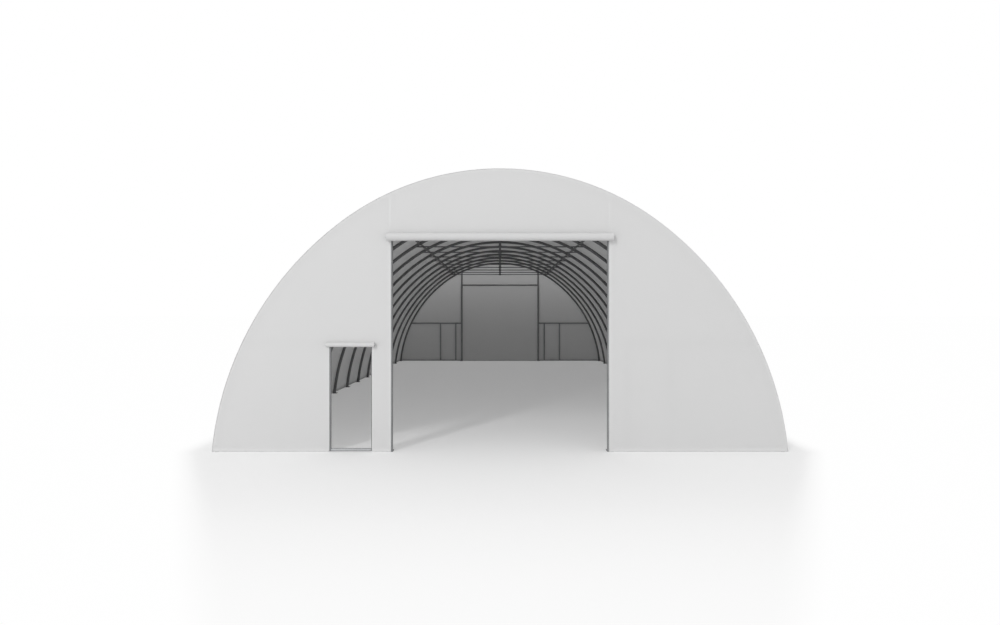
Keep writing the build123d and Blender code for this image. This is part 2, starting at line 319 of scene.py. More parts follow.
def add_object(name, vertices, faces, material, uvs=None):
    """A mesh object that rides with the hall."""
    mesh = bpy.data.meshes.new(name)
    mesh.from_pydata([tuple(v) for v in vertices], [], faces)
    if uvs is not None:
        layer = mesh.uv_layers.new(name="cloth")
        for loop in mesh.loops:
            layer.data[loop.index].uv = uvs[loop.vertex_index]
    mesh.materials.append(material)
    mesh.validate()
    mesh.shade_smooth()
    piece = bpy.data.objects.new(name, mesh)
    bpy.context.scene.collection.objects.link(piece)
    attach(piece, BODY)
    return piece


def add_grid(name, place, u_values, v_values, material):
    """A skin whose points are place(u, v). Its cloth coordinates are u and v, in metres."""
    vertices = [place(u, v) for v in v_values for u in u_values]
    uvs = [(u, v) for v in v_values for u in u_values]
    count = len(u_values)
    faces = []
    for row in range(len(v_values) - 1):
        for column in range(count - 1):
            a = row * count + column
            faces.append((a, a + 1, a + 1 + count, a + count))
    return add_object(name, vertices, faces, material, uvs)


def steps_between(start, end, step):
    count = max(1, round(abs(end - start) / step))
    return [start + (end - start) * index / count for index in range(count + 1)]


def circle(centre, side, other, radius, count):
    turns = [2 * math.pi * step / count for step in range(count)]
    return [centre + radius * (math.cos(turn) * side + math.sin(turn) * other) for turn in turns]


def axes_about(axis):
    """The axis at length 1, and two directions square to it."""
    axis = axis.normalized()
    side = axis.orthogonal().normalized()
    return axis, side, axis.cross(side)


class Shape:
    """Vertices and faces gathered from several simple forms, for one mesh."""

    def __init__(self):
        self.vertices = []
        self.faces = []

    def rings(self, rings, joined=False):
        """Joins rings of points, each with as many points, into a skin with ends, or into a loop."""
        start = len(self.vertices)
        count = len(rings[0])
        for ring in rings:
            self.vertices.extend(ring)
        rows = len(rings) if joined else len(rings) - 1
        for row in range(rows):
            low = start + row * count
            high = start + (row + 1) % len(rings) * count
            for column in range(count):
                following = (column + 1) % count
                self.faces.append((low + column, low + following, high + following, high + column))
        if not joined:
            self.faces.append(tuple(start + column for column in reversed(range(count))))
            last = start + (len(rings) - 1) * count
            self.faces.append(tuple(last + column for column in range(count)))

    def tube(self, path, radius, sides=TUBE_SIDES):
        """A round tube along a path of points. radius is a number, or one for each point."""
        radii = radius if isinstance(radius, list) else [radius] * len(path)
        rings = []
        for index, (point, size) in enumerate(zip(path, radii)):
            along = (path[min(index + 1, len(path) - 1)] - path[max(index - 1, 0)]).normalized()
            side = along.cross(ALONG_Y)
            if side.length < 0.1:
                side = along.cross(UP)
            side.normalize()
            rings.append(circle(point, side, side.cross(along), size, sides))
        self.rings(rings)

    def loop(self, path, radius):
        """A closed weld bead along a closed path, a little thicker and thinner by turns."""
        centre = sum(path, Vector()) / len(path)
        rings = []
        for index, point in enumerate(path):
            along = (path[(index + 1) % len(path)] - path[index - 1]).normalized()
            outward = (point - centre).normalized()
            other = along.cross(outward).normalized()
            size = radius * (1 + BEAD_UNEVEN * math.sin(index * BEAD_WAVE))
            rings.append(circle(point, other.cross(along), other, size, 6))
        self.rings(rings, joined=True)

    def plate(self, low, high, corner):
        """A flat plate between two corners, with its upright corners cut off."""
        edge = [
            (low.x + corner, low.y), (high.x - corner, low.y), (high.x, low.y + corner),
            (high.x, high.y - corner), (high.x - corner, high.y), (low.x + corner, high.y),
            (low.x, high.y - corner), (low.x, low.y + corner),
        ]
        self.rings([[Vector((x, y, z)) for x, y in edge] for z in (low.z, high.z)])

    def hexagon(self, foot, axis, radius, height):
        """A bolt head or a nut that stands on a point, along an axis, with its top edge cut off."""
        axis, side, other = axes_about(axis)
        rings = []
        for rise, share in ((0, 1.0), (height * 0.8, 1.0), (height, 0.86)):
            rings.append(circle(foot + rise * axis, side, other, share * radius, 6))
        self.rings(rings)

    def bolt(self, foot, axis, radius):
        """A washer with a bolt head on it."""
        axis, side, other = axes_about(axis)
        self.rings([circle(foot + rise * axis, side, other, radius * 1.35, 16) for rise in (0, WASHER)])
        self.hexagon(foot + WASHER * axis, axis, radius, radius * 0.75)

    def saddle(self, start, end, inward, across, radius):
        """A bent strap over the inner half of a tube."""
        turns = [math.radians(degrees) for degrees in range(-STRAP_REACH, STRAP_REACH + 1, 16)]
        rings = []
        for point in (start, end):
            ring = []
            for size, order in ((radius - SINK, turns), (radius + STRAP, reversed(turns))):
                ring += [point + size * (math.cos(turn) * inward + math.sin(turn) * across) for turn in order]
            rings.append(ring)
        self.rings(rings)

    def add(self, name, material, slot, sharp=math.radians(40)):
        """Makes the object, smooth apart from the edges that turn by more than a limit."""
        piece = add_object(name, self.vertices, self.faces, material)
        work = bmesh.new()
        work.from_mesh(piece.data)
        bmesh.ops.recalc_face_normals(work, faces=work.faces)
        for edge in work.edges:
            edge.smooth = len(edge.link_faces) == 2 and edge.calc_face_angle(0.0) < sharp
        work.to_mesh(piece.data)
        work.free()
        return piece


# Steel frame

RING_STEP = 0.11           # of a bent tube, from one ring of its mesh to the next
SWAGE = 0.006              # what shows of a tube's drawn-in end before the mouth of the next one
SWAGE_DEPTH = 0.0025
SWAGE_STEP = 0.001         # length of the step down to it
SWAGE_LENGTH = 0.04        # of the drawn-in end inside the next tube
JOINT_BOLT = 0.035         # from a joint to the bolt through it
FOOT_RING = 0.03           # from the foot back to the last ring on the arc
FOOT_LEAN = 0.4            # the lowest stretch, which gives the lean of a foot
BEAD = 0.0045              # radius of a weld bead
WELD_REACH = 0.30          # how far back from a tube's end its weld is looked for
PLATE = 0.008
PLATE_WIDTH = 0.100
PLATE_CORNER = 0.006
PLATE_BOLT = 0.0105
HOLE_EDGE = 0.025
HOLE_PITCH = 0.040
TIE_Z = 3.860
SLEEVE_HALF = 0.05         # half the length of the sleeve on a tie bar, under its king post
SLEEVE_LIFT = 0.002        # of that sleeve off the king post's radius
HEADER_Z = 3.460
GATE_POST_X = 1.742
DOOR_POST_XS = (2.020, 2.715)
SIDE_RAIL_Z = 1.720
GROUND_RAIL_Z = PLATE + GROUND_RAIL_TUBE / 2
SADDLE_LENGTH = 0.060
SADDLE_LAP = 0.010         # of a purlin's saddle over the arch
SADDLE_BOLT = 0.008        # from the saddle's middle to its bolt, away from the arch
SADDLE_BOLT_RISE = 0.002


def off_arch(y):
    """A function that gives a point's distance from the surface of the arch tube at y."""
    def distance(point):
        if abs(math.atan2(point.x, point.z - CROWN_Z)) <= SHOULDER:
            off_line = math.hypot(point.x, point.z - CROWN_Z) - CROWN_RADIUS + TUBE_MIDDLE
        else:
            off_line = math.hypot(abs(point.x) - SIDE_X, point.z - SIDE_Z) - SIDE_RADIUS + TUBE_MIDDLE
        return math.hypot(off_line, point.y - y) - ARCH_TUBE / 2
    return distance


def off_bar(through, along, radius):
    """The same for a straight tube through a point."""
    along = Vector(along)

    def distance(point):
        away = point - through
        return (away - away.dot(along) * along).length - radius
    return distance


def off_plate(point):
    return point.z - PLATE


def inside_fabric(point, inset):
    """The point, or the nearest one to its side that is as far inside the cover and walls as the inset."""
    wide = half_width(max(0.0, min(point.z, HEIGHT - 0.2)), inset)
    x = max(-wide, min(wide, point.x))
    return Vector((x, max(FRONT_Y + inset, min(REAR_Y - inset, point.y)), point.z))


def weld(shape, end, inward, radius, distance, reach=WELD_REACH):
    """A weld bead where the tube that ends at a point meets what carries it."""
    axis, side, other = axes_about(-inward)
    path = []
    for point in circle(end - reach * axis, side, other, radius, TUBE_SIDES):
        near, far = 0.0, reach
        for _ in range(16):
            middle = (near + far) / 2
            if distance(point + middle * axis) > 0:
                near = middle
            else:
                far = middle
        path.append(inside_fabric(point + near * axis, TUBE_OUTSIDE + BEAD))
    shape.loop(path, BEAD)


def branch(shape, start, end, radius, start_on=None, end_on=None, sides=TUBE_SIDES):
    """A straight tube, with a weld bead at each end that is carried."""
    shape.tube([start, end], radius, sides)
    if start_on:
        weld(shape, start, end - start, radius, start_on)
    if end_on:
        weld(shape, end, start - end, radius, end_on)


def foot_plate(shape, edge_x, y, inward_x, inward_y):
    """A foot plate, with an anchor bolt on each of its two holes."""
    first = ARCH_TUBE / 2 + HOLE_EDGE
    reach = first + HOLE_PITCH + HOLE_EDGE
    xs = sorted((edge_x, edge_x + inward_x * PLATE_WIDTH))
    ys = sorted((y - inward_y * ARCH_TUBE / 2, y + inward_y * reach))
    shape.plate(Vector((xs[0], ys[0], 0)), Vector((xs[1], ys[1], PLATE)), PLATE_CORNER)
    for hole in (first, first + HOLE_PITCH):
        foot = Vector((edge_x + inward_x * PLATE_WIDTH / 2, y + inward_y * hole, PLATE))
        shape.bolt(foot, UP, PLATE_BOLT)


def add_tubes(shape, node, material):
    """Makes the gathered tubes an object, which replaces their node."""
    piece = shape.add(node + "_tubes", material, "tube")
    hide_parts(node)


def arch_point(length, inset, y):
    x, z = outline(length, inset)
    return Vector((x, y, z))


def arch_joints():
    """Where the bent tubes of an arch meet, as lengths from the top, with its two feet."""
    crown = [CROWN_HALF_LENGTH * (2 * index / CROWN_TUBES - 1) for index in range(CROWN_TUBES + 1)]
    side = (HALF_LENGTH - CROWN_HALF_LENGTH) / SIDE_TUBES
    right = [CROWN_HALF_LENGTH + side * (index + 1) for index in range(SIDE_TUBES)]
    return [-length for length in reversed(right)] + crown + right


def add_bent_tubes(shape, y, foot, bolt_ways):
    """The bent tubes of an arch, each with a drawn-in end in the next one, and a bolt at each joint."""
    joints = arch_joints()
    half = ARCH_TUBE / 2
    for number, (start, end) in enumerate(zip(joints, joints[1:])):
        lengths = steps_between(start, end - SWAGE, RING_STEP)
        path = [arch_point(length, TUBE_MIDDLE, y) for length in lengths]
        radii = [half] * len(path)
        if number == 0:
            path[0] = Vector((-foot.x, y, foot.z))
        if number == len(joints) - 2:
            path += [arch_point(end - FOOT_RING, TUBE_MIDDLE, y), foot]
            radii += [half, half]
        else:
            for length in (end - (SWAGE - SWAGE_STEP), end + SWAGE_LENGTH):
                path.append(arch_point(length, TUBE_MIDDLE, y))
                radii.append(half - SWAGE_DEPTH)
        shape.tube(path, radii, WIDE_TUBE_SIDES)
    for joint in joints[1:-1]:
        through = arch_point(joint + JOINT_BOLT, TUBE_MIDDLE, y)
        for way in bolt_ways:
            foot = through + way * (half - SINK) * ALONG_Y
            shape.hexagon(foot, way * ALONG_Y, radius=0.009, height=0.007)


def add_tie(shape, y):
    """The tie bar of an arch, and the king post that stands in a sleeve on it."""
    arch = off_arch(y)
    half = HEADER_TUBE / 2
    reach = Vector((half_width(TIE_Z, TUBE_MIDDLE), 0, 0))
    middle = Vector((0, y, TIE_Z))
    branch(shape, middle - reach, middle + reach, TIE_TUBE / 2, arch, arch)
    top = Vector((0, y, HEIGHT - TUBE_MIDDLE))
    shape.tube([middle, top], half)
    weld(shape, top, middle - top, half, arch)
    sleeve = Vector((SLEEVE_HALF, 0, 0))
    shape.tube([middle - sleeve, middle + sleeve], half + SLEEVE_LIFT)


def add_arch(index):
    """One arch: bent tubes, foot plates and bolts, and between the end arches a tie bar and king post."""
    y = ARCH_YS[index]
    at_end = index in (0, ARCH_COUNT - 1)
    inward = 1 if index < ARCH_COUNT / 2 else -1
    shape = Shape()
    foot = Vector((half_width(PLATE, TUBE_MIDDLE), y, PLATE))
    add_bent_tubes(shape, y, foot, (inward,) if at_end else (-1, 1))
    if not at_end:
        add_tie(shape, y)
    lean = arch_point(HALF_LENGTH - FOOT_LEAN, TUBE_MIDDLE, y) - foot
    for side in (-1, 1):
        foot_plate(shape, side * half_width(PLATE, TUBE_OUTSIDE), y, -side, inward)
        weld(
            shape, Vector((side * foot.x, y, foot.z)), Vector((side * lean.x, 0, lean.z)), ARCH_TUBE / 2,
            off_plate, reach=0.05,
        )
    add_tubes(shape, f"arch_{index + 1:02d}", SHADED_STEEL)


def add_purlin(node):
    """The tubes of one purlin line, each held in a bolted saddle at both ends."""
    low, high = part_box(node)
    x = (low.x + high.x) / 2
    z = (low.z + high.z) / 2
    shape = Shape()
    inward = Vector((-x, 0, CROWN_Z - z)).normalized()
    across = inward.cross(ALONG_Y)
    half = PURLIN_TUBE / 2
    for y in ARCH_YS[:-1]:
        shape.tube([Vector((x, y, z)), Vector((x, y + PITCH, z))], half)
        for near, way in ((y, 1), (y + PITCH, -1)):
            start = Vector((x, near + way * (ARCH_TUBE / 2 - SADDLE_LAP), z))
            end = start + Vector((0, way * SADDLE_LENGTH, 0))
            shape.saddle(start, end, inward, across, half)
            middle = (start + end) / 2 + Vector((0, way * SADDLE_BOLT, 0))
            shape.hexagon(middle + inward * (half + SADDLE_BOLT_RISE), inward, radius=0.008, height=0.006)
    add_tubes(shape, node, SHADED_STEEL)


def add_gate_frame(node, y, inward):
    """Gate posts from their foot plates up to the arch, and the header between them."""
    shape = Shape()
    half = ARCH_TUBE / 2
    ends, posts = [], []
    for side in (-1, 1):
        x = side * GATE_POST_X
        top = Vector((x, y, top_height(x, TUBE_MIDDLE)))
        branch(shape, Vector((x, y, PLATE)), top, half, off_plate, sides=WIDE_TUBE_SIDES)
        foot_plate(shape, side * (GATE_POST_X - half), y, side, inward)
        ends.append(Vector((x, y, HEADER_Z)))
        posts.append(off_bar(ends[-1], UP, half))
    branch(shape, *ends, HEADER_TUBE / 2, *posts, WIDE_TUBE_SIDES)
    add_tubes(shape, node, LIT_STEEL)


def add_side_frame(node, y, side):
    """Ground rail, side rail and door posts between a gate post and the arch."""
    shape = Shape()
    post = off_bar(Vector((side * GATE_POST_X, y, 0)), UP, ARCH_TUBE / 2)
    for z, tube in ((GROUND_RAIL_Z, GROUND_RAIL_TUBE), (SIDE_RAIL_Z, HEADER_TUBE)):
        end = Vector((side * half_width(z, TUBE_MIDDLE), y, z))
        branch(shape, Vector((side * GATE_POST_X, y, z)), end, tube / 2, post, off_arch(y))
    for offset in DOOR_POST_XS:
        foot = Vector((side * offset, y, GROUND_RAIL_Z))
        head = Vector((side * offset, y, SIDE_RAIL_Z))
        branch(
            shape, foot, head, HEADER_TUBE / 2,
            off_bar(foot, (1, 0, 0), GROUND_RAIL_TUBE / 2), off_bar(head, (1, 0, 0), HEADER_TUBE / 2),
        )
    add_tubes(shape, node, LIT_STEEL)


for number in range(ARCH_COUNT):
    add_arch(number)
for purlin in ("purlin_left", "purlin_right", "purlin_ridge"):
    add_purlin(purlin)
for end_name, end_y, end_inward in (("front", FIRST_ARCH_Y, 1), ("rear", LAST_ARCH_Y, -1)):
    add_gate_frame(f"{end_name}_gate_frame", end_y, end_inward)
    add_side_frame(f"{end_name}_side_frame_left", end_y, -1)
    add_side_frame(f"{end_name}_side_frame_right", end_y, 1)


# Cover

SAG = 0.036                # of the cover between two arches, where no purlin holds it up
SAG_RISE = 1.2             # height above the ground from which the cover sags in full
PURLIN_SAG = 0.008         # the same over a purlin, which lies a little below the cover
PURLIN_REACH = 0.9         # from a purlin to where the cover sags as it would without it
COVER_SLACK = 0.0022       # uneven slack between two arches
PUCKER = 0.0030            # of the small folds that rise from the ground
PUCKER_RISE = 0.9
PUCKER_WAVE = 21           # radians in a metre
BAY_SHARES = (0, 0.012, 0.05, 0.13, 0.25, 0.37, 0.5, 0.63, 0.75, 0.87, 0.95, 0.988)
PANEL = 2.5                # width of the fabric panels, welded edge to edge across the hall
SEAM = 0.040               # overlap of two panels
COVER_SEAM_LIFT = 0.0009   # how far the seams lie proud of the cover
HEM = 0.080                # folded edge along the ground
HEM_ROWS = 4
HEM_LIFT = 0.0012
CORD = 0.0045              # radius of the cord in the cover's front and rear edges
PURLIN_X = (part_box("purlin_right")[0].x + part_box("purlin_right")[1].x) / 2
PURLIN_LENGTH = math.asin(PURLIN_X / (CROWN_RADIUS - TUBE_MIDDLE)) * CROWN_RADIUS
PURLIN_LENGTHS = (-PURLIN_LENGTH, 0.0, PURLIN_LENGTH)


def smooth_step(value):
    value = min(1.0, max(0.0, value))
    return value * value * (3 - 2 * value)


def cover_inset(length, y):
    """How far inside the outline the cover lies: it rests on the arches and sags between them."""
    z = outline(length, 0)[1]
    place = (y - FIRST_ARCH_Y) / PITCH
    if place <= 0 or place >= ARCH_COUNT - 1:
        return SHEET_INSET
    share = place - math.floor(place)
    free = 4 * share * (1 - share)
    away = min(abs(length - purlin) for purlin in PURLIN_LENGTHS)
    held = math.sin(min(1.0, away / PURLIN_REACH) * math.pi / 2)
    sag = (PURLIN_SAG + (SAG - PURLIN_SAG) * held) * free * smooth_step(z / SAG_RISE)
    slack = COVER_SLACK * free * noise.noise(Vector((length * 0.8, y * 1.1, 3.1)))
    wave = math.sin(y * PUCKER_WAVE + 2.5 * noise.noise(Vector((y, 0, 7))))
    pucker = PUCKER * free * (1 - smooth_step(z / PUCKER_RISE)) * wave
    return SHEET_INSET + sag + slack + pucker


def cover_place(lift):
    def place(length, y):
        return arch_point(length, cover_inset(length, y) - lift, y)
    return place


def add_cover():
    lengths = steps_between(-SHEET_END, SHEET_END, 0.10)
    bays = [FIRST_ARCH_Y + PITCH * (bay + share) for bay in range(ARCH_COUNT - 1) for share in BAY_SHARES]
    ys = [FRONT_Y] + bays + [ARCH_YS[-1], REAR_Y]
    cover = add_grid("roof_cover", cover_place(0), lengths, ys, COVER)
    count = round((REAR_Y - FRONT_Y) / PANEL)
    for seam in range(1, count):
        y = FRONT_Y + seam * PANEL
        add_grid(
            f"roof_cover_seam_{seam:02d}", cover_place(COVER_SEAM_LIFT), lengths,
            [y - SEAM / 2, y, y + SEAM / 2], TRIM,
        )
    for name, side in (("left", -1), ("right", 1)):
        rows = [side * (SHEET_END - HEM * step / HEM_ROWS) for step in range(HEM_ROWS + 1)]
        add_grid(f"roof_cover_hem_{name}", cover_place(HEM_LIFT), rows, ys, TRIM)
    for name, y in (("front", FRONT_Y), ("rear", REAR_Y)):
        path = [arch_point(length, CORD, y) for length in steps_between(-SHEET_END, SHEET_END, 0.06)]
        cord = Shape()
        cord.tube(path, CORD, sides=10)
        cord.add(f"roof_cover_rim_{name}", RIM, "cover")
    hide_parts(*[f"cover_{index + 1:02d}" for index in range(COVER_COUNT)])


add_cover()


# End walls

WALL_STEP = 0.075          # from one point of a wall's mesh to the next
WALL_EDGE = TUBE_OUTSIDE
WALL_TOP_X = 4.4           # further out, the wall has no points inside its edge
WALL_SLACK = 0.0045        # how far a wall's broad waves stand out
WALL_PULL = 0.0012         # the same for the narrow ones, which run down and outwards
FIXED_REACH = 0.5          # from a fixed edge to where the wall is as slack as it gets
NEAR_TOP = 0.05            # this near the top, the wall is too narrow for any slack
EDGE_BAND = 0.045          # folded edge round the wall and its openings
BAND_STEP = 0.08           # from one point of a band's mesh to the next, along it
FOOT_BAND_X = 4.54         # where the band along the ground ends
FOOT_BAND_ZS = (0.004, 0.035, 0.070)
CUT_BAND_FOOT = 0.005
WALL_SEAM_LIFT = 0.0010    # how far each band lies proud of the wall, so that no two meet
EDGE_LIFT = 0.0014
CUT_SIDE_LIFT = 0.0016
CUT_TOP_LIFT = 0.0018
FOOT_LIFT = 0.0022
GATE_CUT_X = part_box("front_wall_right")[0].x
GATE_CUT_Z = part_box("front_wall_over_gate")[0].z
OVER_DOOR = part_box("front_wall_over_door")
GATE_CUT = (-GATE_CUT_X, GATE_CUT_X, GATE_CUT_Z)
DOOR_CUT = (OVER_DOOR[0].x, OVER_DOOR[1].x, OVER_DOOR[0].z)


def wall_bulge(x, z):
    """How far the wall stands out of its plane: a little slack between its fixed edges."""
    if z > HEIGHT - NEAR_TOP:
        return 0.0
    to_edge = half_width(z, 0) - abs(x)
    to_top = top_height(x, 0) - z
    beside_gate = abs(x) - GATE_CUT_X
    if z < GATE_CUT_Z:
        to_gate = abs(beside_gate)
    else:
        to_gate = math.hypot(max(0, beside_gate), z - GATE_CUT_Z)
    slack = smooth_step(min(to_edge, to_top, to_gate, z + 0.1) / FIXED_REACH)
    broad = 0.5 + 0.5 * noise.noise(Vector((x * 0.7, z * 0.7, 1.7)))
    pull = noise.noise(Vector((x * 2.6 + z * 1.9, (z - abs(x)) * 0.6, 5.3)))
    return slack * (WALL_SLACK * broad + WALL_PULL * pull)


def wall_edge_points(cuts):
    """Points along the edge of the wall with its cuts, in order."""
    edge = [outline(length, WALL_EDGE) for length in steps_between(-SHEET_END, SHEET_END, WALL_STEP)]
    for x_low, x_high, z_high in sorted(cuts, reverse=True):
        for start, end in (
            ((x_high, edge[-1][1]), (x_high, z_high)), ((x_high, z_high), (x_low, z_high)),
            ((x_low, z_high), (x_low, edge[0][1])),
        ):
            for share in steps_between(0, 1, WALL_STEP / math.dist(start, end)):
                point = (start[0] + share * (end[0] - start[0]), start[1] + share * (end[1] - start[1]))
                if math.dist(point, edge[-1]) > 1e-6:
                    edge.append(point)
    return edge


def wall_inner_points(cuts):
    """Points spread over the wall inside its edge, each row half a step aside from the one below."""
    margin = WALL_STEP * 0.55
    reach = math.ceil(WALL_TOP_X / WALL_STEP)
    inner = []
    for row in range(int(HEIGHT / WALL_STEP)):
        z = (row + 0.6) * WALL_STEP
        for column in range(-reach, reach + 1):
            x = (column + row % 2 / 2) * WALL_STEP
            if abs(x) >= WALL_TOP_X or z > top_height(x, WALL_EDGE) - margin:
                continue
            if abs(x) > half_width(z, WALL_EDGE) - margin:
                continue
            if any(a - margin < x < b + margin and z < top + margin for a, b, top in cuts):
                continue
            inner.append((x, z))
    return inner


def add_wall(name, y, way, material, cuts, nodes):
    """An end wall, with its seams and folded edges. way is the direction along Y that it faces."""
    edge = wall_edge_points(cuts)
    points = [Vector(point) for point in edge + wall_inner_points(cuts)]
    borders = [(index, (index + 1) % len(edge)) for index in range(len(edge))]
    flat, _, triangles = delaunay_2d_cdt(points, borders, [], 1, 1e-6)[:3]

    def stand(x, z, lift=0.0):
        return Vector((x, y + way * (wall_bulge(x, z) + lift), z))

    wall = add_object(
        name, [stand(p.x, p.y) for p in flat], [tuple(face) for face in triangles], material,
        [(p.x, p.y) for p in flat],
    )

    def add_band(label, u_values, v_values, lift, where=lambda u, v: (u, v)):
        def place(u, v):
            return stand(*where(u, v), lift)
        add_grid(f"{name}_{label}", place, u_values, v_values, TRIM)

    add_band(
        "edge", steps_between(-SHEET_END, SHEET_END, BAND_STEP),
        steps_between(WALL_EDGE, WALL_EDGE + EDGE_BAND, EDGE_BAND / 2), EDGE_LIFT, outline,
    )
    for number, seam_x in enumerate((-GATE_POST_X, GATE_POST_X), 1):
        top = top_height(seam_x, WALL_EDGE + EDGE_BAND)
        add_band(
            f"seam_{number}", [seam_x - SEAM / 2, seam_x, seam_x + SEAM / 2],
            steps_between(GATE_CUT_Z + EDGE_BAND, top, BAND_STEP), WALL_SEAM_LIFT,
        )
    for number, (x_low, x_high, z_high) in enumerate(cuts, 1):
        for side, x_edge, outward in (("left", x_low, -1), ("right", x_high, 1)):
            add_band(
                f"cut_{number}_{side}", [x_edge + outward * EDGE_BAND * step / 2 for step in range(3)],
                steps_between(CUT_BAND_FOOT, z_high, BAND_STEP), CUT_SIDE_LIFT,
            )
        add_band(
            f"cut_{number}_top", steps_between(x_low - EDGE_BAND, x_high + EDGE_BAND, BAND_STEP),
            [z_high + EDGE_BAND * step / 2 for step in range(3)], CUT_TOP_LIFT,
        )
    ends = [-FOOT_BAND_X] + sorted(x for cut in cuts for x in cut[:2]) + [FOOT_BAND_X]
    for number, (start, end) in enumerate(zip(ends[::2], ends[1::2]), 1):
        add_band(f"foot_{number}", steps_between(start, end, BAND_STEP), FOOT_BAND_ZS, FOOT_LIFT)
    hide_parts(*nodes)


add_wall("front_wall_sheet", FRONT_Y + SHEET_INSET, -1, WALL, [GATE_CUT, DOOR_CUT], [
    "front_wall_left", "front_wall_over_door", "front_wall_between", "front_wall_over_gate",
    "front_wall_right",
])
add_wall("rear_wall_sheet", REAR_Y - SHEET_INSET, 1, REAR_WALL, [GATE_CUT], [
    "rear_wall_left", "rear_wall_over_gate", "rear_wall_right",
])


# Curtains

FLAP_RISE = 0.045          # of a roll's flap up the wall, over the middle of the roll
FLAP_ROWS = 4
FLAP_OFF_WALL = 0.0012
ROLL_OFF_WALL = 0.0010     # at least
INNER_LAYER = 0.0008       # of a roll, off its tube
OUTER_LAYER = 0.0012       # of a roll, inside the size of its solid
TURN_ROWS = 30             # rows of the mesh in a turn round a roll
LOOSE_TURN = 4 * math.pi   # the outer turns up to here are loose
LOOSE_BUMPS = 0.0016
LOOSE_SAG = 0.0020
EDGE_SHIFT = 0.004         # how unevenly the edge of the cloth winds up
TUBE_CHAMFER = 0.0015
CHAMFER_LENGTH = 0.002
HANG_OFF_WALL = 0.0045     # of the rear curtain
HANG_WAVE = 0.0030
HANG_WAVES = 5.2           # radians in a metre
HANG_OFF_TUBE = 0.0012
HANG_TUBE_STUB = 0.015     # how far its tube sticks out of it
HANG_TURN_ROWS = 20        # rows of the mesh in a turn round that tube
BATTEN_OFF = 0.0010        # off the curtain
BATTEN_DEPTH = 0.0035
BATTEN_HEIGHT = 0.032
BATTEN_EDGE = 0.008        # from the curtain's top edge
BATTEN_STUB = 0.005        # how much shorter it is than the curtain, at each end
BATTEN_BOLT_PITCH = 0.30
BATTEN_BOLT_EDGE = 0.08


def add_roll(node, drop, tube_radius, stub):
    """A curtain wound on its tube: fixed to the wall behind the roll, and wound from there inwards.

    drop is the length that it closes when it is let down. stub is how far the tube's ends stick out.
    """
    low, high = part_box(node)
    outer = (high.z - low.z) / 2
    centre_y, centre_z = (low.y + high.y) / 2, (low.z + high.z) / 2
    x_start, x_end = low.x + stub, high.x - stub
    first, last = tube_radius + INNER_LAYER, outer - OUTER_LAYER
    pitch = math.pi * (last**2 - first**2) / drop
    turns = (last - first) / pitch
    steps = round(turns * TURN_ROWS)
    winding = [turns * 2 * math.pi * step / steps for step in range(steps + 1)]

    def place(u, row):
        # The rows run down the wall first, and then round the roll
        if row < FLAP_ROWS:
            return Vector((u, FRONT_Y - FLAP_OFF_WALL, centre_z + FLAP_RISE * (1 - row / FLAP_ROWS)))
        turn = winding[row - FLAP_ROWS]
        radius = last - pitch * turn / (2 * math.pi)
        loose = smooth_step(1 - turn / LOOSE_TURN)
        radius += LOOSE_BUMPS * loose * noise.noise(Vector((u * 2.2, turn * 0.5, drop)))
        shift = EDGE_SHIFT * noise.noise(Vector((turn * 0.35, 2.0, drop)))
        x = u + shift * (2 * (u - x_start) / (x_end - x_start) - 1)
        y = centre_y + radius * math.cos(turn)
        sag = LOOSE_SAG * loose * smooth_step(turn / 1.2) * max(0.0, math.sin(turn))
        z = centre_z - radius * math.sin(turn) - sag
        return Vector((x, min(y, FRONT_Y - ROLL_OFF_WALL), z))

    rows = list(range(FLAP_ROWS + len(winding)))
    roll = add_grid(f"{node}_cloth", place, steps_between(x_start, x_end, 0.11), rows, CURTAIN)
    lengths = [0.0]
    for row in rows[1:]:
        lengths.append(lengths[-1] + (place(0, row) - place(0, row - 1)).length)
    layer = roll.data.uv_layers["cloth"]
    for item in layer.data:
        item.uv = (item.uv[0], lengths[round(item.uv[1])])
    tube = Shape()
    xs = (low.x, low.x + CHAMFER_LENGTH, high.x - CHAMFER_LENGTH, high.x)
    ends = [tube_radius - TUBE_CHAMFER]
    tube.tube(
        [Vector((x, centre_y, centre_z)) for x in xs], ends + 2 * [tube_radius] + ends, WINDING_TUBE_SIDES
    )
    winder = tube.add(f"{node}_winding_tube", WINDING_TUBE_PAINTED_LIGHT, "tube")
    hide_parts(node)


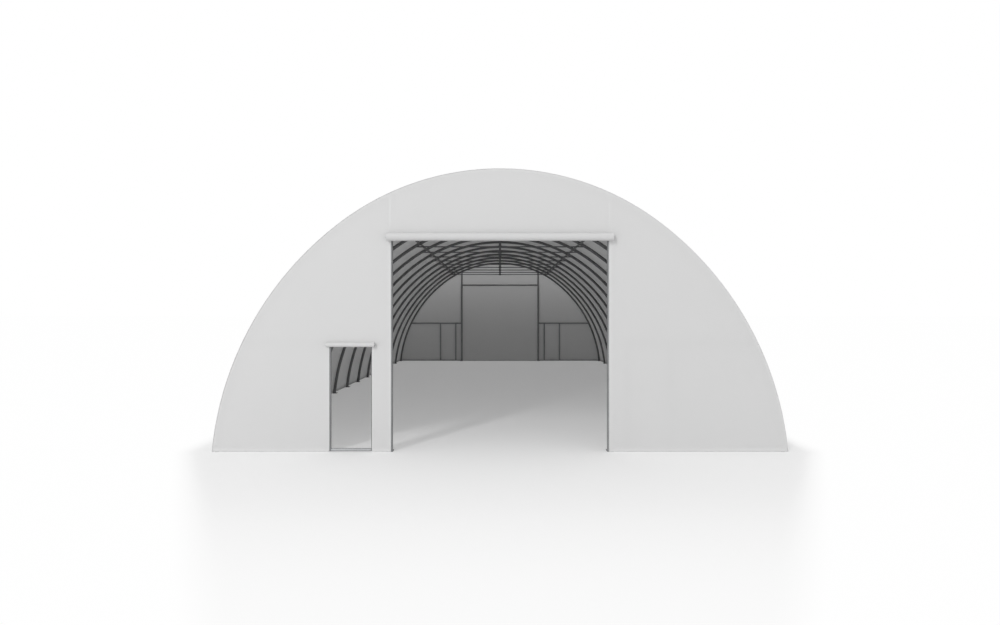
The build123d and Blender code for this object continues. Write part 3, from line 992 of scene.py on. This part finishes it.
def add_rear_curtain():
    """The rear gate's curtain: it hangs from a batten over the gate, with its tube at the ground."""
    low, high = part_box("rear_gate_curtain")
    radius = GATE_WINDING_TUBE / 2
    wound = radius + HANG_OFF_TUBE
    tube_y, tube_z = high.y - radius, radius
    hang_y = REAR_Y + HANG_OFF_WALL

    def hanging(u, v):
        # v runs down from the top, and then round the tube
        z = high.z - v
        if z > tube_z:
            down = smooth_step((high.z - z) / 1.5)
            wave = math.sin(u * HANG_WAVES + 0.8 * noise.noise(Vector((u * 0.8, z * 0.3, 9.0))))
            free = down * smooth_step((z - tube_z) / 0.5)
            edge = smooth_step((high.x - abs(u)) / 0.1)
            return Vector((u, hang_y + HANG_WAVE * free * edge * (1 + wave), z))
        turn = (tube_z - z) / radius
        return Vector((u, tube_y - wound * math.cos(turn), tube_z - wound * math.sin(turn)))

    drop = high.z - tube_z
    rows = steps_between(0, drop, 0.08)
    rows += [drop + radius * 2 * math.pi * step / HANG_TURN_ROWS for step in range(1, HANG_TURN_ROWS - 2)]
    curtain = add_grid(
        "rear_gate_curtain_cloth", hanging, steps_between(low.x, high.x, 0.05), rows, REAR_CURTAIN
    )
    tube = Shape()
    ends = (low.x - HANG_TUBE_STUB, high.x + HANG_TUBE_STUB)
    tube.tube([Vector((x, tube_y, tube_z)) for x in ends], radius, WINDING_TUBE_SIDES)
    winder = tube.add("rear_gate_curtain_tube", LIT_STEEL, "tube")
    batten = Shape()
    z_high = high.z - BATTEN_EDGE
    z_low = z_high - BATTEN_HEIGHT
    y_low = hang_y + BATTEN_OFF
    y_high = y_low + BATTEN_DEPTH
    ring = [(z_low, y_low), (z_low, y_high), (z_high, y_high), (z_high, y_low)]
    ends = (low.x + BATTEN_STUB, high.x - BATTEN_STUB)
    batten.rings([[Vector((x, y, z)) for z, y in ring] for x in ends])
    for x in steps_between(low.x + BATTEN_BOLT_EDGE, high.x - BATTEN_BOLT_EDGE, BATTEN_BOLT_PITCH):
        foot = Vector((x, y_high - SINK / 2, (z_low + z_high) / 2))
        batten.hexagon(foot, ALONG_Y, radius=0.006, height=0.004)
    fixing = batten.add("rear_gate_curtain_batten", LIT_STEEL, "tube")
    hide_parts("rear_gate_curtain")


add_roll("front_gate_roll", drop=3.45, tube_radius=GATE_WINDING_TUBE / 2, stub=0.016)
add_roll("front_door_roll", drop=1.76, tube_radius=DOOR_WINDING_TUBE / 2, stub=0.012)
add_rear_curtain()


# Tread of the small door

TREAD_GAP = 0.002          # off the ground rail and the door posts
TREAD_FOOT = 0.012
TREAD_INSIDE = 0.955       # the inside of its shell, as a share of the outside
TREAD_STEPS = 8


def add_threshold():
    """A light tread over the ground rail, between the posts of the small door; its light tone is painted
    light, for the rail lit at the door.
    """
    half = GROUND_RAIL_TUBE / 2 + TREAD_GAP
    foot = TREAD_FOOT - GROUND_RAIL_Z
    turns = [math.pi * step / TREAD_STEPS for step in range(TREAD_STEPS + 1)]
    outer = [(-half * math.cos(turn), half * math.sin(turn)) for turn in turns]
    outer = [(-half, foot)] + outer + [(half, foot)]
    inner = [(y * TREAD_INSIDE, max(foot, z * TREAD_INSIDE)) for y, z in reversed(outer)]
    off_post = HEADER_TUBE / 2 + TREAD_GAP
    ends = (off_post - DOOR_POST_XS[1], -DOOR_POST_XS[0] - off_post)
    tread = Shape()
    tread.rings([[Vector((x, FIRST_ARCH_Y + y, GROUND_RAIL_Z + z)) for y, z in outer + inner] for x in ends])
    tread.add("front_door_tread", LIT_TREAD, "tube")


add_threshold()


# Stage, light and camera

CAMERA_DISTANCE = 10.62    # from the front wall
CAMERA_HEIGHT = 2.212
CAMERA_LENS = 24.1
FLOOR_HALF = 400.0
FLOOR_TONE = 0.93
FADE_FROM = -6.6           # along Y, inside the front, where the floor begins to fade to white
FADE_FRONT = 12.4          # from there to plain white
FADE_SIDE = 0.65           # the same beside the hall and behind it, from its edge
FADE_TAPER = 0.46          # how much narrower the faded floor is for each metre before the front
FLOOR_WHITE = (            # share of plain white in the floor, along that fade
    (0.0, 0.218), (0.19, 0.262), (0.30, 0.31), (0.37, 0.325), (0.48, 0.40), (0.56, 0.54), (0.68, 0.76),
    (0.85, 0.92), (1.0, 1.0),
)
WORLD_LIGHT = 0.70
SOFTBOX_POWER = 7200.0
SOFTBOX_DISTANCE = 45.0    # along the ground, from the middle of the front
SOFTBOX_Z = 25.0
SOFTBOX_WIDTH = 5.2
SOFTBOX_LENGTH = 27.0
SOFTBOX_AZIMUTH = math.radians(28.5)
SOFTBOX_AIM = Vector((0, FRONT_Y, 1.5))
REAR_LIGHT = 1.40
REAR_LIGHT_SPREAD = math.radians(30)
REAR_LIGHT_RISE = math.radians(25)


def seen_rays(tree):
    """What kind each ray is of, and 1 for those that show to the camera or in a reflection."""
    rays = add_node(tree, "ShaderNodeLightPath", {})
    return rays, add_math(tree, "MAXIMUM", rays["Is Camera Ray"], rays["Is Glossy Ray"])


def white_world():
    """White to the camera and in reflections, and a light of its own strength on everything else."""
    world = bpy.data.worlds.new("studio")
    bpy.context.scene.world = world
    world.use_nodes = True
    tree = world.node_tree
    tree.nodes.clear()
    output = tree.nodes.new("ShaderNodeOutputWorld")
    shades = []
    for strength in (WORLD_LIGHT, 1.0):
        values = {"Color": (1, 1, 1, 1), "Strength": strength}
        shades.append(add_node(tree, "ShaderNodeBackground", values)["Background"])
    rays, seen = seen_rays(tree)
    # A ray that shines through fabric is a diffuse one too, and gets the light
    clear = add_math(tree, "SUBTRACT", rays["Is Transmission Ray"], rays["Is Diffuse Ray"])
    white = add_math(tree, "MAXIMUM", seen, clear)
    tree.links.new(add_mix(tree, white, *shades), output.inputs["Surface"])


def floor_whiteness(tree):
    """Share of plain white in the floor: least before the gate, and all of it away from the hall."""
    coordinates = add_node(tree, "ShaderNodeTexCoord", {})["Object"]
    place = add_node(tree, "ShaderNodeSeparateXYZ", {"Vector": coordinates})
    x, y = place["X"], place["Y"]
    taper = add_math(tree, "MAXIMUM", add_math(tree, "SUBTRACT", FRONT_Y, y), 0.0)
    edge = add_math(tree, "SUBTRACT", SPAN / 2, add_math(tree, "MULTIPLY", taper, FADE_TAPER))
    beside = add_math(tree, "SUBTRACT", add_math(tree, "ABSOLUTE", x), edge)
    behind = add_math(tree, "SUBTRACT", y, REAR_Y)
    before = add_math(tree, "SUBTRACT", FADE_FROM, y)
    squares = []
    for beyond, reach in ((beside, FADE_SIDE), (behind, FADE_SIDE), (before, FADE_FRONT)):
        share = add_math(tree, "DIVIDE", add_math(tree, "MAXIMUM", beyond, 0.0), reach)
        squares.append(add_math(tree, "MULTIPLY", share, share))
    total = add_math(tree, "ADD", add_math(tree, "ADD", squares[0], squares[1]), squares[2])
    fade = tree.nodes.new("ShaderNodeValToRGB")
    tree.links.new(add_math(tree, "SQRT", total), fade.inputs["Fac"])
    fade.color_ramp.interpolation = "B_SPLINE"
    stops = fade.color_ramp.elements
    for along, _ in FLOOR_WHITE[1:-1]:
        stops.new(along)
    for stop, (along, white) in zip(stops, FLOOR_WHITE):
        stop.position = along
        stop.color = (white, white, white, 1.0)
    return fade.outputs["Color"]


def add_floor():
    """A pale floor that keeps the shade near the hall and fades to white away from it."""
    mesh = bpy.data.meshes.new("studio_floor")
    corners = [(x * FLOOR_HALF, y * FLOOR_HALF, 0) for x, y in ((-1, -1), (1, -1), (1, 1), (-1, 1))]
    mesh.from_pydata(corners, [], [(0, 1, 2, 3)])
    floor = bpy.data.objects.new("studio_floor", mesh)
    bpy.context.scene.collection.objects.link(floor)
    material, tree, surface, output = new_material("studio_floor")
    tone = (FLOOR_TONE, FLOOR_TONE, FLOOR_TONE, 1.0)
    set_inputs(tree, surface, {"Base Color": tone, "Roughness": 1.0, "Specular IOR Level": 0.0})
    white = add_node(tree, "ShaderNodeEmission", {})["Emission"]
    share = add_math(tree, "MULTIPLY", floor_whiteness(tree), seen_rays(tree)[1])
    mixed = add_mix(tree, share, surface.outputs["BSDF"], white)
    tree.links.new(mixed, output.inputs["Surface"])
    mesh.materials.append(material)


def add_lamp(name, kind, power):
    data = bpy.data.lights.new(name, kind)
    data.energy = power
    lamp = bpy.data.objects.new(name, data)
    bpy.context.scene.collection.objects.link(lamp)
    return lamp


def add_softbox():
    """A tall narrow soft lamp in front and to the left, whose light reaches in through the gate."""
    lamp = add_lamp("softbox", "AREA", SOFTBOX_POWER)
    lamp.data.shape = "RECTANGLE"
    lamp.data.size = SOFTBOX_WIDTH
    lamp.data.size_y = SOFTBOX_LENGTH
    across, along = math.sin(SOFTBOX_AZIMUTH), math.cos(SOFTBOX_AZIMUTH)
    lamp.location = (-SOFTBOX_DISTANCE * across, FRONT_Y - SOFTBOX_DISTANCE * along, SOFTBOX_Z)
    lamp.rotation_euler = (SOFTBOX_AIM - lamp.location).to_track_quat("-Z", "Y").to_euler()


def add_rear_light():
    """A soft light from behind, which rakes along the roof and sides. It leaves out the floor."""
    lamp = add_lamp("rear_light", "SUN", REAR_LIGHT)
    lamp.data.angle = REAR_LIGHT_SPREAD
    towards = Vector((0, math.cos(REAR_LIGHT_RISE), math.sin(REAR_LIGHT_RISE)))
    lamp.rotation_euler = towards.to_track_quat("Z", "Y").to_euler()
    lit = bpy.data.collections.new("lit_from_behind")
    for piece in bpy.context.scene.objects:
        if piece.type == "MESH" and piece.name != "studio_floor":
            lit.objects.link(piece)
    lamp.light_linking.receiver_collection = lit


def add_camera():
    data = bpy.data.cameras.new("camera")
    data.lens = CAMERA_LENS
    data.sensor_width = 36.0
    data.clip_end = 1000.0
    camera = bpy.data.objects.new("camera", data)
    camera.location = (0, FRONT_Y - CAMERA_DISTANCE, CAMERA_HEIGHT)
    camera.rotation_euler = (math.radians(90), 0, 0)
    bpy.context.scene.collection.objects.link(camera)
    bpy.context.scene.camera = camera


white_world()
add_floor()
add_softbox()
add_rear_light()
add_camera()
bpy.context.scene.view_settings.view_transform = "Standard"
